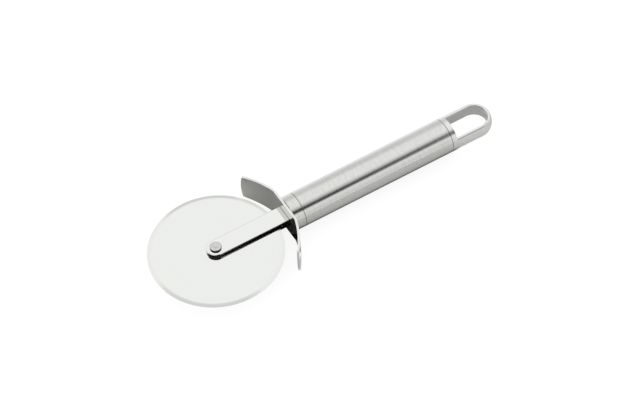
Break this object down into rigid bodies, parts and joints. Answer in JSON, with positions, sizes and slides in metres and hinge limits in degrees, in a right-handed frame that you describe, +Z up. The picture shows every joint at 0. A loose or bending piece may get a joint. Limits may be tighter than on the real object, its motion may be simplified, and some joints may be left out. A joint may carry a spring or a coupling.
{
  "type": "pizza cutter wheel",
  "caption": "Handheld pizza cutter: a bevelled disc that spins in a slotted flat fork, a bent thumb guard and a tubular steel handle with a hanging loop.",
  "frame": {"origin": "under the middle of the whole cutter, on the surface that its handle lies on", "axes": "+X runs along the handle from the cutting wheel to the hanging loop, +Y is sideways, +Z is up, parallel to the wheel's axle"},
  "size_m": [0.1992, 0.07, 0.0187],
  "materials": {
    "polished_steel": "mirror-polished stainless steel",
    "satin_steel": "satin-brushed stainless steel",
    "nylon": "plain black nylon"
  },
  "bodies": {
    "handle": {"fork": "polished_steel", "spacer_sleeve": "polished_steel", "upper_washer": "nylon", "lower_washer": "nylon", "rivet_socket": "satin_steel", "rivet_pin": "satin_steel", "thumb_guard": "polished_steel", "front_ferrule": "satin_steel", "plate_washer": "polished_steel", "spring_washer": "polished_steel", "tang_nut": "polished_steel", "handle_tube": "satin_steel", "end_cap": "satin_steel"},
    "wheel": {"cutting_wheel": "polished_steel"}
  },
  "joints": [
    {"name": "wheel_spin", "type": "hinge", "parent": "handle", "child": "wheel", "pos_m": [-0.0646, 0, 0.00937], "axis": [0, 0, 1], "continuous": true}
  ]
}
